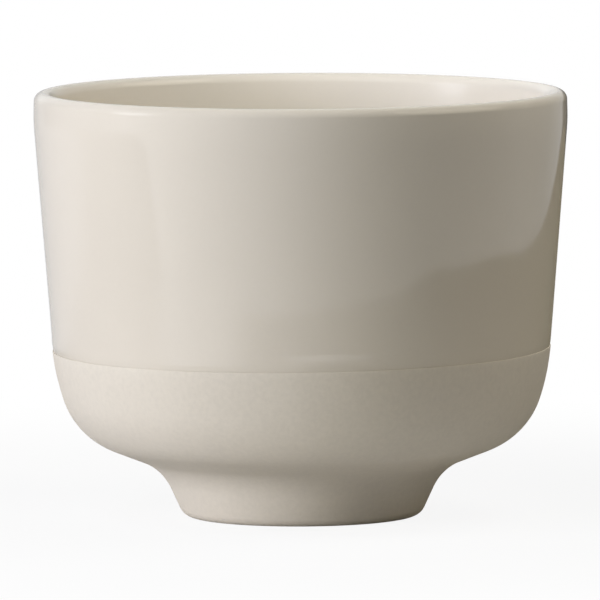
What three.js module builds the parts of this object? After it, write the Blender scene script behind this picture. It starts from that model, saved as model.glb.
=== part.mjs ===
// A stoneware drinking mug without a handle, on a flared foot. The clay is one fired piece. A glossy glaze
// lines the inside, and a second coat covers the outside from the lip down to a level line on the hip.
// Millimetres, +Z up, the origin at the centre of the foot on the table.
import * as THREE from 'three';

// Foot
const footRadius = 22.2; // outer edge at the table, before it is rounded
const footEdgeRound = 2.8;
const neckFlare = 4.1; // how much wider the foot is at its top
const neckHeight = 9.1; // where the foot's wall would meet the underside of the bowl
const neckFillet = 10.3;

// Hollow under the foot
const recessRadius = 16.5;
const recessTaper = 1; // how much narrower the hollow is at its ceiling
const recessDepth = 7;
const recessRound = 3;
const ringInnerRound = 1.2;

// Bowl
const mugHeight = 79.9;
const rimRadius = 50.05;
const rimDrop = 5.4; // depth below the top at which the wall turns upright
const rimRound = 33;
const rimTuck = 0.12; // how far the lip leans back in
const hipInset = 3.75; // the hip's corner, inside the rim
const hipRise = 11.8; // and above the belly's corner
const bellyInset = 7.65; // the belly's corner, inside the rim
const bellyRise = 6.3; // and above the neck
const bellyRound = 15;
const wallThickness = 4; // finished wall, glaze included
const floorThickness = 5.3; // finished floor above the hollow, glaze included
const floorRound = 30;

// Glaze
const glazeThickness = 0.3;
const glazeLineHeight = 31.7; // lower edge of the outer coat
const glazeRoll = 0.4; // height over which that edge rolls in to the clay
const clayStep = 0.1; // how far the bare clay stands proud of the coat

// Facets
const facetsAround = 48;
const chordError = 0.04; // largest distance of a rounded outline from its facets
const sameSpot = 1e-6; // points closer than this are one, as where two arcs meet

const clayFinish = { color: 0xcec5b7, roughness: 0.85, metalness: 0 };
const outerFinish = { color: 0xd3cabc, roughness: 0.2, metalness: 0 };
const innerFinish = { color: 0xd8cfc1, roughness: 0.15, metalness: 0 };

// A corner of an outline: its distance from the axis, its height and the round that softens it
function corner(r, z, round = 0) {
  return { r, z, round };
}

function heading(from, to) {
  return Math.atan2(to.z - from.z, to.r - from.r);
}

// The angle turned at a corner, positive to the left
function turnAt(before, at, after) {
  const turn = heading(at, after) - heading(before, at);
  return Math.atan2(Math.sin(turn), Math.cos(turn));
}

// The length that a corner's round takes from each of its two sides
function tangentLength(round, turn) {
  return round * Math.tan(Math.abs(turn) / 2);
}

// The round that takes a given length from each side
function roundTaking(length, turn) {
  return length / Math.tan(Math.abs(turn) / 2);
}

// An outline moved sideways, to its left as it runs, with each round still about the same centre
function shifted(corners, distance) {
  return corners.map((at, index) => {
    const isEnd = index === 0 || index === corners.length - 1;
    const turn = isEnd ? 0 : turnAt(corners[index - 1], at, corners[index + 1]);
    const arriving = index > 0 ? heading(corners[index - 1], at) : heading(at, corners[1]);
    const left = arriving + turn / 2 + Math.PI / 2;
    const reach = distance / Math.cos(turn / 2);
    const round = at.round ? at.round - Math.sign(turn) * distance : 0;
    return corner(at.r + reach * Math.cos(left), at.z + reach * Math.sin(left), round);
  });
}

// The outline's points, with an arc at every rounded corner between its ends
function smoothed(corners) {
  const points = [];
  corners.forEach((at, index) => {
    const isEnd = index === 0 || index === corners.length - 1;
    if (isEnd || !at.round) {
      points.push(new THREE.Vector2(at.r, at.z));
      return;
    }
    const turn = turnAt(corners[index - 1], at, corners[index + 1]);
    const side = Math.sign(turn);
    const arriving = heading(corners[index - 1], at);
    const back = tangentLength(at.round, turn);
    const toCentre = arriving + (side * Math.PI) / 2;
    const centreR = at.r - back * Math.cos(arriving) + at.round * Math.cos(toCentre);
    const centreZ = at.z - back * Math.sin(arriving) + at.round * Math.sin(toCentre);
    const from = toCentre + Math.PI;
    const arc = new THREE.ArcCurve(centreR, centreZ, at.round, from, from + turn, side < 0);
    const facetAngle = 2 * Math.acos(1 - chordError / at.round);
    points.push(...arc.getPoints(Math.ceil(Math.abs(turn) / facetAngle)));
  });
  return points.filter((point, index) => index === 0 || point.distanceTo(points[index - 1]) > sameSpot);
}

// The point where an outline first rises to a height, and the index of the point after it
function crossing(points, height) {
  const next = points.findIndex((point) => point.y > height);
  const share = (height - points[next - 1].y) / (points[next].y - points[next - 1].y);
  return { next, point: points[next - 1].clone().lerp(points[next], share) };
}

function below(points, height) {
  const { next, point } = crossing(points, height);
  return [...points.slice(0, next), point];
}

function above(points, height) {
  const { next, point } = crossing(points, height);
  return [point, ...points.slice(next)];
}

// The radius that the line through two corners has at a height
function radiusAt(from, to, z) {
  return from.r + ((z - from.z) * (to.r - from.r)) / (to.z - from.z);
}

// Corners of the finished outside, from the neck up to the lip
const neck = corner(footRadius + neckFlare, neckHeight, neckFillet);
const belly = corner(rimRadius - bellyInset, neckHeight + bellyRise, bellyRound);
const hip = corner(rimRadius - hipInset, belly.z + hipRise);
const rim = corner(rimRadius, mugHeight - rimDrop, rimRound);
const lipOutside = corner(rimRadius - rimTuck, mugHeight);

// The hip's long arc starts where the belly's arc ends
const bellySide = Math.hypot(hip.r - belly.r, hip.z - belly.z);
const bellyLength = tangentLength(bellyRound, turnAt(neck, belly, hip));
hip.round = roundTaking(bellySide - bellyLength, turnAt(belly, hip, rim));

// Corners of the finished inside, a wall's thickness in from the outside, down to a level floor
const floorHeight = recessDepth + floorThickness;
const [neckInside, bellyInside, hipInside, rimInside] = shifted([neck, belly, hip, rim], wallThickness);
const lipInside = corner(radiusAt(hipInside, rimInside, mugHeight), mugHeight);
const floorEdge = corner(radiusAt(neckInside, bellyInside, floorHeight), floorHeight, floorRound);
const floorCentre = corner(0, floorHeight);

// The lip is rounded right over: each of its two rounds takes half of its width
const crown = corner((lipOutside.r + lipInside.r) / 2, mugHeight);
const halfLip = (lipOutside.r - lipInside.r) / 2;
lipOutside.round = roundTaking(halfLip, turnAt(rim, lipOutside, crown));
lipInside.round = roundTaking(halfLip, turnAt(crown, lipInside, hipInside));

// The glaze's surfaces, and the clay under them
const outsideCorners = [neck, belly, hip, rim, lipOutside, crown];
const insideCorners = [crown, lipInside, hipInside, bellyInside, floorEdge, floorCentre];
const outsideSurface = smoothed(outsideCorners);
const insideSurface = smoothed(insideCorners);
const outsideClay = above(smoothed(shifted(outsideCorners, glazeThickness)), glazeLineHeight);
const insideClay = smoothed(shifted(insideCorners, glazeThickness));

// The bare clay, from under the foot to the step at the glaze line
function bareClay() {
  const proud = ({ r, z, round }) => corner(r + clayStep, z, round);
  const corners = [
    corner(0, recessDepth),
    corner(recessRadius - recessTaper, recessDepth, recessRound),
    corner(recessRadius, 0, ringInnerRound),
    corner(footRadius, 0, footEdgeRound),
    ...[neck, belly, hip, rim].map(proud),
    proud(lipOutside),
  ];
  return below(smoothed(corners), glazeLineHeight);
}

function bodyOutline() {
  return [...bareClay(), ...outsideClay, ...insideClay.slice(1)];
}

// The outer coat rolls in to the clay at its lower edge and leaves a hairline groove above the step
function outerGlazeOutline() {
  const surface = above(outsideSurface, glazeLineHeight + glazeRoll);
  const edge = surface[0];
  const foot = outsideClay[0];
  const roll = new THREE.QuadraticBezierCurve(foot, new THREE.Vector2(edge.x, foot.y), edge);
  const rollFacets = 3;
  return [...roll.getPoints(rollFacets), ...surface.slice(1), ...outsideClay.toReversed()];
}

function innerGlazeOutline() {
  return [...insideClay.toReversed(), ...insideSurface];
}

function turnedPiece(name, outline, finish) {
  const geometry = new THREE.LatheGeometry(outline, facetsAround).rotateX(Math.PI / 2);
  const piece = new THREE.Mesh(geometry, new THREE.MeshStandardMaterial(finish));
  piece.name = name;
  return piece;
}

const mug = new THREE.Group();
mug.add(turnedPiece('stoneware_body', bodyOutline(), clayFinish));
mug.add(turnedPiece('outer_glaze', outerGlazeOutline(), outerFinish));
mug.add(turnedPiece('inner_glaze', innerGlazeOutline(), innerFinish));

export default mug;
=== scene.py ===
import math
import bmesh
import bpy
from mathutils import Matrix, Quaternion, Vector, noise


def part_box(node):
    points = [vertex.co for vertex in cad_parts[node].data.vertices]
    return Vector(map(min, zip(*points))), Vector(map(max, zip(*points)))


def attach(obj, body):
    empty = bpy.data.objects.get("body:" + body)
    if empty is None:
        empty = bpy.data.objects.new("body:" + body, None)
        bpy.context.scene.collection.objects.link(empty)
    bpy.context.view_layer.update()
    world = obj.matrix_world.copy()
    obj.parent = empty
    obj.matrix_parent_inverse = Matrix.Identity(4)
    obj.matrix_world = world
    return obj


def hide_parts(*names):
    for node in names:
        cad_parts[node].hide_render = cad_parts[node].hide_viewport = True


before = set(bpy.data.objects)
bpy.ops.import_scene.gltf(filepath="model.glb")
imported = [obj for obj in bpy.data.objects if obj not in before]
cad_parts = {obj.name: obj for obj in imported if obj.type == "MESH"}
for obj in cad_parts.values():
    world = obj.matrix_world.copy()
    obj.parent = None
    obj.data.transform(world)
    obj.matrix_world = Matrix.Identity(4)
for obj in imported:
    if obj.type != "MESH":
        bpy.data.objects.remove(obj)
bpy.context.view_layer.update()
scene = bpy.context.scene
mm = 0.001
print("frame loaded:", len(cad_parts), "solids")

# The turned outline in millimetres: corners first, then the rounds that soften them
mugShape = {
    "footRadius": 22.2,
    "footEdgeRound": 2.8,
    "neckFlare": 4.1,
    "neckHeight": 9.1,
    "neckFillet": 10.3,
    "recessRadius": 16.5,
    "recessTaper": 1.0,
    "recessDepth": 7.0,
    "recessRound": 3.0,
    "ringInnerRound": 1.2,
    "height": 79.9,
    "rimRadius": 50.044,  # a hair less than the solids, whose facets cut across the rim's arc
    "rimDrop": 5.4,
    "rimRound": 33.0,
    "rimTuck": 0.12,
    "hipInset": 3.75,
    "hipRise": 11.8,
    "bellyInset": 7.65,
    "bellyRise": 6.3,
    "bellyRound": 15.0,
    "wall": 4.0,
    "floor": 5.3,
    "floorRound": 30.0,
    "clayStep": 0.1,  # bare clay stands this much proud of the glaze
    "around": 160,  # steps of every full turn
    "longestRun": 2.0,  # straight runs are cut to this length
    "arcStep": 2.5,  # degrees
    "fewestSteps": 2,  # of an arc
    "sharpFrom": 35.0,  # degrees; edges that turn less are shaded smooth
    "sameSpot": 0.001,  # points closer than this are one
}


class Corner:
    def __init__(self, r, z, round=0.0):
        self.place = Vector((r, z))
        self.round = round

    def moved(self, dr):
        return Corner(self.place.x + dr, self.place.y, self.round)


def turnAt(before, at, after):
    arriving = at.place - before.place
    leaving = after.place - at.place
    return -arriving.angle_signed(leaving)  # positive to the left


def tangentLength(round, turn):
    return round * math.tan(abs(turn) / 2)


def roundTaking(length, turn):
    return length / math.tan(abs(turn) / 2)


def leftOf(direction):
    return Vector((-direction.y, direction.x))


# A line of corners moved to its left, with each round about the same centre
def shifted(corners, distance):
    runs = [(after.place - at.place).normalized() for at, after in zip(corners, corners[1:])]
    moved = []
    for at, arriving, leaving in zip(corners, [runs[0], *runs], [*runs, runs[-1]]):
        left = (leftOf(arriving) + leftOf(leaving)).normalized()
        place = at.place + left * (distance / left.dot(leftOf(arriving)))
        bend = math.copysign(distance, arriving.cross(leaving))
        moved.append(Corner(place.x, place.y, at.round - bend))
    return moved


def radiusAt(low, high, z):
    share = (z - low.place.y) / (high.place.y - low.place.y)
    return low.place.x + share * (high.place.x - low.place.x)


def mugCorners():
    s = mugShape
    neck = Corner(s["footRadius"] + s["neckFlare"], s["neckHeight"], s["neckFillet"])
    belly = Corner(s["rimRadius"] - s["bellyInset"], s["neckHeight"] + s["bellyRise"], s["bellyRound"])
    hip = Corner(s["rimRadius"] - s["hipInset"], belly.place.y + s["hipRise"])
    rim = Corner(s["rimRadius"], s["height"] - s["rimDrop"], s["rimRound"])
    lipOutside = Corner(s["rimRadius"] - s["rimTuck"], s["height"])
    bellyLength = tangentLength(belly.round, turnAt(neck, belly, hip))
    hipLength = (hip.place - belly.place).length - bellyLength
    hip.round = roundTaking(hipLength, turnAt(belly, hip, rim))
    neckIn, bellyIn, hipIn, rimIn = shifted([neck, belly, hip, rim], s["wall"])
    floorHeight = s["recessDepth"] + s["floor"]
    lipInside = Corner(radiusAt(hipIn, rimIn, s["height"]), s["height"])
    floorEdge = Corner(radiusAt(neckIn, bellyIn, floorHeight), floorHeight, s["floorRound"])
    crown = Corner((lipOutside.place.x + lipInside.place.x) / 2, s["height"])
    halfLip = lipOutside.place.x - crown.place.x
    lipOutside.round = roundTaking(halfLip, turnAt(rim, lipOutside, crown))
    lipInside.round = roundTaking(halfLip, turnAt(crown, lipInside, hipIn))
    outside = [neck, belly, hip, rim, lipOutside, crown]
    inside = [crown, lipInside, hipIn, bellyIn, floorEdge, Corner(0, floorHeight)]
    under = [
        Corner(0, s["recessDepth"]),
        Corner(s["recessRadius"] - s["recessTaper"], s["recessDepth"], s["recessRound"]),
        Corner(s["recessRadius"], 0, s["ringInnerRound"]),
        Corner(s["footRadius"], 0, s["footEdgeRound"]),
    ]
    return under, outside, inside


underCorners, outsideCorners, insideCorners = mugCorners()


def runTo(bm, tip, place):
    if (Vector((tip.co.x, tip.co.z)) - place).length < mugShape["sameSpot"]:  # two arcs that meet
        return tip
    end = bmesh.ops.extrude_vert_indiv(bm, verts=[tip])["verts"][0]
    end.co = (place.x, 0, place.y)
    return end


# Straight runs are extruded, and each rounded corner is a vertex spun about the corner's centre
def drawOutline(corners):
    bm = bmesh.new()
    tip = bm.verts.new((corners[0].place.x, 0, corners[0].place.y))
    for before, at, after in zip(corners, corners[1:], corners[2:]):
        turn = turnAt(before, at, after)
        along = (at.place - before.place).normalized()
        start = at.place - along * tangentLength(at.round, turn)
        tip = runTo(bm, tip, start)
        if at.round:
            centre = start + leftOf(along) * math.copysign(at.round, turn)
            steps = math.ceil(math.degrees(abs(turn)) / mugShape["arcStep"])
            arc = bmesh.ops.spin(
                bm,
                geom=[tip],
                cent=(centre.x, 0, centre.y),
                axis=(0, 1, 0),
                angle=-turn,
                steps=max(mugShape["fewestSteps"], steps),
            )
            tip = [part for part in arc["geom_last"] if isinstance(part, bmesh.types.BMVert)][0]
    runTo(bm, tip, corners[-1].place)
    cutRuns(bm, bm.edges[:], mugShape["longestRun"])
    return bm


def cutRuns(bm, edges, longest):
    cuts = {edge: int(edge.calc_length() / longest) for edge in edges}
    for count in set(cuts.values()) - {0}:
        alike = [edge for edge in cuts if cuts[edge] == count]
        bmesh.ops.subdivide_edges(bm, edges=alike, cuts=count)


def trimOutline(bm, line, above):
    bmesh.ops.bisect_plane(
        bm,
        geom=bm.verts[:] + bm.edges[:],
        dist=mugShape["sameSpot"],
        plane_co=(0, 0, line),
        plane_no=(0, 0, 1 if above else -1),
        clear_inner=True,
    )
    return bm


def joinOutlines(outlines):
    whole = bmesh.new()
    for bm in outlines:
        mesh = bpy.data.meshes.new("outline")
        bm.to_mesh(mesh)
        bm.free()
        whole.from_mesh(mesh)
        bpy.data.meshes.remove(mesh)
    return whole


def turnOutline(bm):
    bmesh.ops.spin(
        bm,
        geom=bm.verts[:] + bm.edges[:],
        cent=(0, 0, 0),
        axis=(0, 0, 1),
        angle=math.tau,
        steps=mugShape["around"],
        use_merge=True,
    )
    bmesh.ops.remove_doubles(bm, verts=bm.verts[:], dist=mugShape["sameSpot"])
    bmesh.ops.recalc_face_normals(bm, faces=bm.faces[:])


# The glaze was dipped by hand, so its line dips a little towards one side
glazeLine = {
    "height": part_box("outer_glaze")[0].z / mm,
    "tilt": 0.6,  # millimetres up or down at the two ends
    "lowSide": -122.0,  # degrees round from +X
    "ripple": 0.06,
    "rippleScale": 0.06,  # waves in a millimetre
    "reach": 7.0,  # the tilt fades out this far above and below the line
    "outsideFrom": 44.0,  # what is nearer to the axis is the inside, and stays
}


def tiltGlazeLine(bm):
    for vert in bm.verts:
        away = abs(vert.co.z - glazeLine["height"]) / glazeLine["reach"]
        if away < 1 and vert.co.xy.length > glazeLine["outsideFrom"]:
            angle = math.atan2(vert.co.y, vert.co.x)
            swing = -glazeLine["tilt"] * math.cos(angle - math.radians(glazeLine["lowSide"]))
            spot = Vector((vert.co.x, vert.co.y, 0)) * glazeLine["rippleScale"]
            swing += glazeLine["ripple"] * noise.noise(spot)
            vert.co.z += swing * (1 - away * away) ** 2


def finishMesh(bm, name, replaced):
    bmesh.ops.scale(bm, vec=(mm, mm, mm), verts=bm.verts[:])
    for face in bm.faces:
        face.smooth = True
    for edge in bm.edges:
        edge.smooth = edge.calc_face_angle(0) < math.radians(mugShape["sharpFrom"])
    mesh = bpy.data.meshes.new(name)
    bm.to_mesh(mesh)
    bm.free()
    piece = bpy.data.objects.new(name, mesh)
    scene.collection.objects.link(piece)
    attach(piece, "root")
    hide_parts(replaced)
    print(name, "made:", len(mesh.polygons), "faces")
    return piece


bareClay = {
    "name": "clay_body",
    "color": (0.604, 0.552, 0.466),
    "shades": (0.965, 1.03),  # darkest and lightest spots, as shares of the colour
    "cloudScale": 45,  # noise to the metre, here and in the glaze
    "grainScale": 1100,
    "sandScale": 5200,
    "grainShare": 0.65,  # of the shades; the rest is cloud
    "grainHeight": 0.6,  # share of the relief; the rest is sand
    "relief": 0.00003,  # metres
    "reliefStrength": 0.5,
    "roughness": 0.78,
    "roughnessSpread": 0.2,
    "specular": 0.35,
    "edgeRound": 0.10,  # of the step at the glaze line
}

glazeCoat = {
    "thickness": 0.3,
    "bedding": 0.02,  # the clay lies this much deeper than the coat is thick
    "edgeRoll": 0.035,  # round of the coat's lower edge
    "rollSteps": 3,
    "beadHeight": 0.08,  # the glaze gathers in a low bead above that edge
    "beadPeak": 1.8,  # millimetres above the edge
    "beadRise": 1.3,
    "beadStep": 0.25,  # rows across the bead
    "edgeFall": 0.06,  # and thins out towards the edge
    "fallHeight": 1.1,
    "gathers": ((-83, 15), (18, 24), (97, 17), (171, 28)),  # degrees from +X, and half the bead's length
}


# Bowl, wall, lip and foot as one piece, sunk where the glaze lies
def makeClayBody():
    line = glazeLine["height"]
    sunk = glazeCoat["thickness"] + glazeCoat["bedding"]
    proud = [corner.moved(mugShape["clayStep"]) for corner in outsideCorners[:-1]]
    bare = trimOutline(drawOutline([*underCorners, *proud]), line, above=False)
    covered = trimOutline(drawOutline(shifted(outsideCorners, sunk)), line, above=True)
    bm = joinOutlines([bare, covered, drawOutline(shifted(insideCorners, sunk))])
    looseEnds = [vert for vert in bm.verts if len(vert.link_edges) == 1]
    ledge = [vert for vert in looseEnds if isNear(vert.co.z, line)]
    bmesh.ops.contextual_create(bm, geom=ledge)
    edgeRadius = max(vert.co.x for vert in ledge)
    turnOutline(bm)
    roundEdge(bm, line, edgeRadius, bareClay["edgeRound"])
    tiltGlazeLine(bm)
    return finishMesh(bm, bareClay["name"], "stoneware_body")


def roundEdge(bm, line, radius, offset):
    ring = [edge for edge in bm.edges if all(isOnRing(vert, line, radius) for vert in edge.verts)]
    bmesh.ops.bevel(
        bm,
        geom=ring,
        offset=offset,
        offset_type="OFFSET",
        segments=glazeCoat["rollSteps"],
        profile=0.5,
        affect="EDGES",
        material=-1,
    )


def isNear(length, other):
    return abs(length - other) < mugShape["sameSpot"]


def isOnRing(vert, line, radius):
    return isNear(vert.co.z, line) and isNear(vert.co.xy.length, radius)


def makeOuterCoat():
    line = glazeLine["height"]
    bm = trimOutline(drawOutline(outsideCorners), line, above=True)
    top = line + glazeCoat["beadPeak"] + glazeCoat["beadRise"]
    low = [edge for edge in bm.edges if min(vert.co.z for vert in edge.verts) < top]
    cutRuns(bm, low, glazeCoat["beadStep"])
    turnOutline(bm)
    edgeRadius = min(bm.verts, key=lambda vert: vert.co.z).co.xy.length
    bmesh.ops.solidify(bm, geom=bm.faces[:], thickness=glazeCoat["thickness"])
    gatherBead(bm, line, edgeRadius)
    roundEdge(bm, line, edgeRadius - glazeCoat["edgeFall"], glazeCoat["edgeRoll"])
    tiltGlazeLine(bm)
    return finishMesh(bm, "outer_glaze_coat", "outer_glaze")


def gatherBead(bm, line, edgeRadius):
    bead = glazeCoat
    top = bead["beadPeak"] + bead["beadRise"]
    middle = edgeRadius - bead["thickness"] / 2  # of the coat; what lies deeper stays
    for vert in bm.verts:
        rise = vert.co.z - line
        if rise > top or vert.co.xy.length < middle:
            continue
        height = bead["beadHeight"] * gatheredAt(math.degrees(math.atan2(vert.co.y, vert.co.x)))
        lift = height * smooth(max(0, 1 - abs(rise - bead["beadPeak"]) / bead["beadRise"]))
        lift -= bead["edgeFall"] * smooth(max(0, 1 - rise / bead["fallHeight"]))
        vert.co.xy *= 1 + lift / vert.co.xy.length


def gatheredAt(angle):
    turns = [((angle - middle + 180) % 360 - 180, half) for middle, half in glazeCoat["gathers"]]
    return smooth(max(0, *[1 - abs(turn) / half for turn, half in turns]))


def smooth(share):
    return share * share * (3 - 2 * share)


def makeInnerCoat():
    bm = drawOutline(insideCorners)
    turnOutline(bm)
    bmesh.ops.solidify(bm, geom=bm.faces[:], thickness=glazeCoat["thickness"])
    return finishMesh(bm, "inner_glaze_liner", "inner_glaze")


clayBody = makeClayBody()
outerCoat = makeOuterCoat()
innerCoat = makeInnerCoat()


class Wire:  # a shader value: arithmetic on it adds Math nodes
    def __init__(self, tree, socket):
        self.tree = tree
        self.socket = socket

    def math(self, operation, *ends):
        node = self.tree.nodes.new("ShaderNodeMath")
        node.operation = operation
        for slot, end in zip(node.inputs, ends):
            if isinstance(end, Wire):
                self.tree.links.new(end.socket, slot)
            else:
                slot.default_value = end
        return Wire(self.tree, node.outputs[0])

    def __add__(self, other):
        return self.math("ADD", self, other)

    def __radd__(self, other):
        return self.math("ADD", other, self)

    def __sub__(self, other):
        return self.math("SUBTRACT", self, other)

    def __rsub__(self, other):
        return self.math("SUBTRACT", other, self)

    def __mul__(self, other):
        return self.math("MULTIPLY", self, other)

    def __rmul__(self, other):
        return self.math("MULTIPLY", other, self)

    def between(self, low, high):  # 0 below low, 1 above high, smooth in between
        node = self.tree.nodes.new("ShaderNodeMapRange")
        node.interpolation_type = "SMOOTHSTEP"
        self.tree.links.new(self.socket, node.inputs["Value"])
        node.inputs["From Min"].default_value = low
        node.inputs["From Max"].default_value = high
        return Wire(self.tree, node.outputs["Result"])


class Nodes:  # the node tree of one material or of the world
    def __init__(self, tree):
        self.tree = tree
        tree.nodes.clear()

    def add(self, kind, settings=None, sockets=None, output=0):
        node = self.tree.nodes.new("ShaderNode" + kind)
        for name, setting in (settings or {}).items():
            setattr(node, name, setting)
        for name, value in (sockets or {}).items():
            if isinstance(value, Wire):
                self.tree.links.new(value.socket, node.inputs[name])
            else:
                node.inputs[name].default_value = value
        return Wire(self.tree, node.outputs[output]) if node.outputs else None

    def mixColor(self, factor, first, second):
        return self.add("Mix", {"data_type": "RGBA"}, {0: factor, 6: first, 7: second}, 2)

    def noise(self, place, scale, detail=2.0, roughness=0.5):
        sockets = {"Vector": place, "Scale": scale, "Detail": detail, "Roughness": roughness}
        return self.add("TexNoise", None, sockets)

    def slope(self, place, way, reach, near, far):  # a colour that changes along a way
        along = self.add("VectorMath", {"operation": "DOT_PRODUCT"}, {0: place, 1: way}, "Value")
        return self.mixColor(along.between(*reach), near, far)

    def rays(self):
        kinds = ("Camera", "Glossy", "Transmission")
        return [self.add("LightPath", None, None, f"Is {kind} Ray") for kind in kinds]

    def finish(self, shader, kind="Material"):
        self.add("Output" + kind, None, {"Surface": shader})


def newMaterial(name, piece):
    material = bpy.data.materials.new(name)
    material.use_nodes = True
    piece.data.materials.clear()
    piece.data.materials.append(material)
    return Nodes(material.node_tree)


def tone(color, gain=1.0):
    return (*[part * gain for part in color], 1.0)


plainWhite = (1, 1, 1, 1)
noiseMiddle = 0.5
noiseSpan = (0.3, 0.7)  # nearly all of the noise lies between


def mottled(nodes, color, shades, cloud, fine, fineShare):
    dark, light = [tone(color, shade) for shade in shades]
    blend = cloud * (1 - fineShare) + fine * fineShare
    return nodes.mixColor(blend.between(*noiseSpan), dark, light)


def dressClay(piece):
    nodes = newMaterial("bare_stoneware", piece)
    place = nodes.add("TexCoord", output="Object")
    clay = bareClay
    cloud = nodes.noise(place, clay["cloudScale"], detail=3)
    grain = nodes.noise(place, clay["grainScale"], detail=2, roughness=0.6)
    sand = nodes.noise(place, clay["sandScale"], detail=1)
    relief = {
        "Strength": clay["reliefStrength"],
        "Distance": clay["relief"],
        "Height": grain * clay["grainHeight"] + sand * (1 - clay["grainHeight"]),
    }
    sockets = {
        "Base Color": mottled(nodes, clay["color"], clay["shades"], cloud, grain, clay["grainShare"]),
        "Roughness": clay["roughness"] + (grain - noiseMiddle) * clay["roughnessSpread"],
        "Specular IOR Level": clay["specular"],
        "Normal": nodes.add("Bump", None, relief),
    }
    nodes.finish(nodes.add("BsdfPrincipled", None, sockets))


glazeFinish = {
    "color": (0.610, 0.556, 0.470),
    # painted light: the same glaze as outside, painted lighter inside the bowl
    "innerColorWithPaintedLight": (0.720, 0.667, 0.584),
    "shades": (0.988, 1.01),
    "cloudScale": 38,
    "fleckScale": 1400,
    "fleckShare": 0.3,  # of the shades; the rest is cloud
    "peelScale": 260,
    "waveScale": 28,
    "peelHeight": 0.04,  # shares of the relief
    "waveHeight": 0.4,
    "relief": 0.00003,  # metres
    "reliefStrength": 0.2,
    "roughness": 0.05,
    "innerRoughness": 0.15,
    "roughnessSpread": 0.02,
    "ior": 1.5,
}


def dressGlaze(piece, name, color, roughness):
    nodes = newMaterial(name, piece)
    place = nodes.add("TexCoord", output="Object")
    glaze = glazeFinish
    cloud = nodes.noise(place, glaze["cloudScale"], detail=3)
    fleck = nodes.noise(place, glaze["fleckScale"], detail=2, roughness=0.6)
    peel = nodes.noise(place, glaze["peelScale"], detail=2)
    wave = nodes.noise(place, glaze["waveScale"], detail=1)
    relief = {
        "Strength": glaze["reliefStrength"],
        "Distance": glaze["relief"],
        "Height": peel * glaze["peelHeight"] + wave * glaze["waveHeight"],
    }
    sockets = {
        "Base Color": mottled(nodes, color, glaze["shades"], cloud, fleck, glaze["fleckShare"]),
        "Roughness": roughness + (fleck - noiseMiddle) * glaze["roughnessSpread"],
        "IOR": glaze["ior"],
        "Normal": nodes.add("Bump", None, relief),
    }
    nodes.finish(nodes.add("BsdfPrincipled", None, sockets))


dressClay(clayBody)
dressGlaze(
    outerCoat,
    "glossy_glaze_outside",
    glazeFinish["color"],
    glazeFinish["roughness"],
)
dressGlaze(
    innerCoat,
    "glossy_glaze_inside",
    glazeFinish["innerColorWithPaintedLight"],
    glazeFinish["innerRoughness"],
)
print("finishes made")

# A round white board on a white table, in a white room
studio = {
    "boardCentre": (0.015, 0.085),
    "boardRadius": 0.300,
    "boardSides": 128,
    "tableCorners": (  # the front edge slants, and the right corner is cut round
        (-0.75, 0.80),
        (-0.75, -0.224),
        (0.0, -0.096),
        (0.141, -0.189),
        (0.188, -0.170),
        (0.218, -0.154),
        (0.240, -0.128),
        (0.275, -0.070),
        (0.306, 0.023),
        (0.318, 0.087),
        (0.324, 0.186),
        (0.324, 0.80),
    ),
    "tableDrop": 0.001,  # the board's thickness
    "color": (0.83, 0.83, 0.83),
    "paintedShadeColor": (0.26, 0.26, 0.26),  # painted shade on the side away from the lamps
    "dimWay": (0.906, 0.42, 0),
    "paintedShadeReach": (-0.04, 0.16),  # metres that way, from bright to the painted shade
    "mirrored": (0.18, 0.16, 0.11),  # painted shade of board and table, as the glaze mirrors them
    "paintedLightPools": (  # apart from painted pools of light on them: middle, reach and colour
        ((-0.16, -0.17, 0), (0.05, 0.10), (1.0, 1.0, 1.0)),
        ((-0.35, 0.50, 0), (0.33, 0.45), (0.58, 0.58, 0.58)),
        ((0.10, -0.20, 0), (0.04, 0.17), (0.46, 0.45, 0.42)),
    ),
    "roomDims": (  # darker sides of the room, as the glaze mirrors them: way, reach and level
        ((0.5, 0.866, 0), (0.70, 1.0), 0.57),
        ((-0.866, 0.5, 0), (0.75, 0.95), 0.35),
        ((-0.2, 0.96, -0.2), (0.93, 0.97), 0.55),
        ((0.199, 0.975, -0.1), (0.972, 0.987), 0.08),
    ),
    "ambient": 0.045,
    "lift": 0.90,  # share of plain white in board and table, as the camera sees them by the mug
    "fade": (0.06, 0.24),  # metres from the mug's middle; all white beyond
}

# Soft oval lamps: degrees round from the camera's side (minus is left) and up,
# metres away, metres across and high, watts, and whether the glaze mirrors them
anyLamp = {"away": 1.4, "size": (0.5, 0.5), "color": (1.0, 1.0, 1.0), "mirrored": False}
closeBox = {"away": 0.25, "size": (0.12, 0.12)}
lamps = {
    "side_panel": {"turn": -60, "rise": 8, "watts": 10.7, "color": (1.02, 1.0, 1.0)},
    "far_side_panel": {"turn": -75, "rise": 8, "watts": 3.9, "color": (0.90, 1.0, 1.5)},
    "front_panel": {"turn": -38, "rise": 22, "watts": 2.4, "color": (0.95, 1.0, 0.9)},
    "close_box_left": {
        **closeBox,
        "turn": -50,
        "rise": 50,
        "watts": 0.166,
        "color": (0.95, 1.0, 1.08),
    },
    "close_box_right": {
        **closeBox,
        "turn": 90,
        "rise": 60,
        "watts": 0.194,
        "color": (1.01, 1.0, 0.93),
    },
    "high_panel": {
        "turn": 77,
        "rise": 38,
        "away": 0.8,
        "size": (0.72, 0.56),
        "watts": 1.4,
        "color": (1.1, 1.0, 0.82),
        "mirrored": True,
    },
    "tall_panel": {
        "turn": -78,
        "rise": 15,
        "size": (0.5, 0.65),
        "watts": 1.9,
        "color": (0.97, 1.0, 1.05),
        "mirrored": True,
    },
    "back_panel": {"turn": 180, "rise": 35, "size": (0.8, 0.8), "watts": 3.0},
}


def makeBoard():
    bm = bmesh.new()
    bmesh.ops.create_circle(
        bm,
        cap_ends=True,
        segments=studio["boardSides"],
        radius=studio["boardRadius"],
    )
    bmesh.ops.translate(bm, vec=(*studio["boardCentre"], 0), verts=bm.verts[:])
    return finishStage(bm, "round_board")


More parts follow.
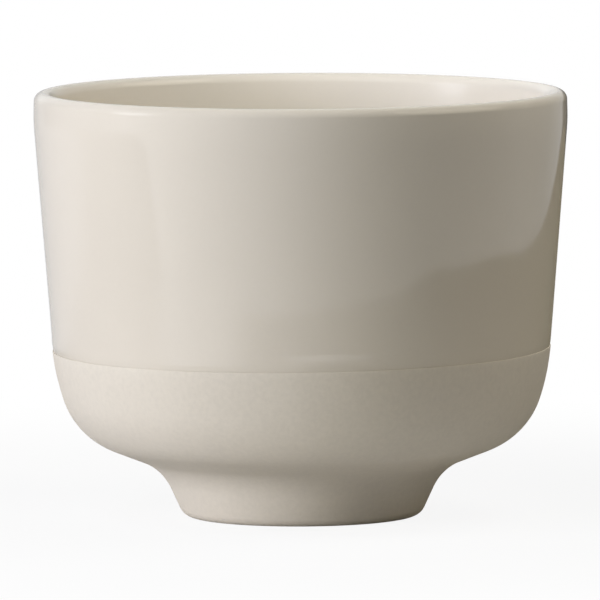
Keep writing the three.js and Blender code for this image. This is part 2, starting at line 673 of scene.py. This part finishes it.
def makeTable():
    bm = bmesh.new()
    height = -studio["tableDrop"]
    bm.faces.new([bm.verts.new((x, y, height)) for x, y in studio["tableCorners"]])
    return finishStage(bm, "table_top")


def finishStage(bm, name):
    bmesh.ops.recalc_face_normals(bm, faces=bm.faces[:])
    for face in bm.faces:
        if face.normal.z < 0:
            face.normal_flip()
    mesh = bpy.data.meshes.new(name)
    bm.to_mesh(mesh)
    bm.free()
    piece = bpy.data.objects.new(name, mesh)
    scene.collection.objects.link(piece)
    return piece


# Lit like paper with painted shade on the side away from the lamps, nearly white to the camera and clear
# from below; the glaze mirrors a painted shade of its own, with painted pools of light
def dressStage(piece):
    nodes = newMaterial("white_" + piece.name, piece)
    place = nodes.add("TexCoord", output="Object")
    # painted shade: board and table darken in colour towards the side away from the lamps
    bright, dim = tone(studio["color"]), tone(studio["paintedShadeColor"])
    shade = nodes.slope(place, studio["dimWay"], studio["paintedShadeReach"], bright, dim)
    lit = nodes.add("BsdfDiffuse", None, {"Color": shade})
    # painted reflection: the glaze sees board and table as a glowing painted shade with painted pools of
    # light, not as they are lit
    mirrored = tone(studio["mirrored"])
    for middle, reach, color in studio["paintedLightPools"]:
        away = nodes.add("VectorMath", {"operation": "DISTANCE"}, {0: place, 1: middle}, "Value")
        mirrored = nodes.mixColor(away.between(*reach), tone(color), mirrored)
    camera, gloss, through = nodes.rays()
    glow = nodes.add("Emission", None, {"Color": nodes.mixColor(camera, mirrored, plainWhite)})
    fromMug = nodes.add("VectorMath", {"operation": "LENGTH"}, {0: place}, "Value")
    share = studio["lift"] + fromMug.between(*studio["fade"]) * (1 - studio["lift"])
    seen = nodes.add("MixShader", None, {0: camera * share + gloss + through, 1: lit, 2: glow})
    clear = nodes.add("BsdfTransparent")
    back = nodes.add("NewGeometry", None, None, "Backfacing")
    nodes.finish(nodes.add("MixShader", None, {0: back, 1: seen, 2: clear}))


# The photograph's view: from far off, a little above the rim
viewFrom = {
    "middle": (0, 0, 0.04),  # of the mug, where the lamps point
    "distance": 2.323,
    "elevation": 5.01,
    "target": (-0.00026, 0, 0.04054),
    "roll": 0.27,
    "focal": 743.2,
    "sensor": 36,  # millimetres wide
}


# White to the camera, darker on some sides in the glaze, and only a faint light on the mug
def lightRoom():
    world = bpy.data.worlds.new("white_room")
    scene.world = world
    world.use_nodes = True
    nodes = Nodes(world.node_tree)
    camera, gloss, through = nodes.rays()
    way = nodes.add("TexCoord", output="Object")
    room = plainWhite
    for dimWay, reach, level in studio["roomDims"]:
        room = nodes.slope(way, dimWay, reach, room, (level, level, level, 1))
    soft = nodes.add("Background", None, {"Color": plainWhite, "Strength": studio["ambient"]})
    seen = nodes.add("Background", None, {"Color": nodes.mixColor(gloss, plainWhite, room)})
    shader = nodes.add("MixShader", None, {0: camera + gloss + through, 1: soft, 2: seen})
    nodes.finish(shader, "World")


def hangLamps():
    for name, changes in lamps.items():
        lamp = {**anyLamp, **changes}
        data = bpy.data.lights.new(name, "AREA")
        data.shape = "ELLIPSE"
        data.size, data.size_y = lamp["size"]
        data.energy = lamp["watts"]
        data.color = lamp["color"]
        light = bpy.data.objects.new(name, data)
        light.visible_glossy = lamp["mirrored"]
        turn, rise = math.radians(lamp["turn"]), math.radians(lamp["rise"])
        level = Vector((math.sin(turn), -math.cos(turn), 0)) * math.cos(rise)
        reach = level + Vector((0, 0, math.sin(rise)))
        light.location = Vector(viewFrom["middle"]) + reach * lamp["away"]
        light.rotation_euler = (-reach).to_track_quat("-Z", "Y").to_euler()
        scene.collection.objects.link(light)


def makeCamera():
    data = bpy.data.cameras.new("camera")
    data.sensor_width = viewFrom["sensor"]
    data.lens = viewFrom["focal"]
    camera = bpy.data.objects.new("camera", data)
    rise = math.radians(viewFrom["elevation"])
    back = Vector((0, -math.cos(rise), math.sin(rise)))
    camera.location = Vector(viewFrom["target"]) + back * viewFrom["distance"]
    camera.rotation_mode = "QUATERNION"
    aim = (-back).to_track_quat("-Z", "Y")
    camera.rotation_quaternion = aim @ Quaternion((0, 0, 1), math.radians(-viewFrom["roll"]))
    scene.collection.objects.link(camera)
    scene.camera = camera


dressStage(makeBoard())
dressStage(makeTable())
lightRoom()
hangLamps()
makeCamera()
scene.view_settings.view_transform = "Standard"
print("studio and camera set")
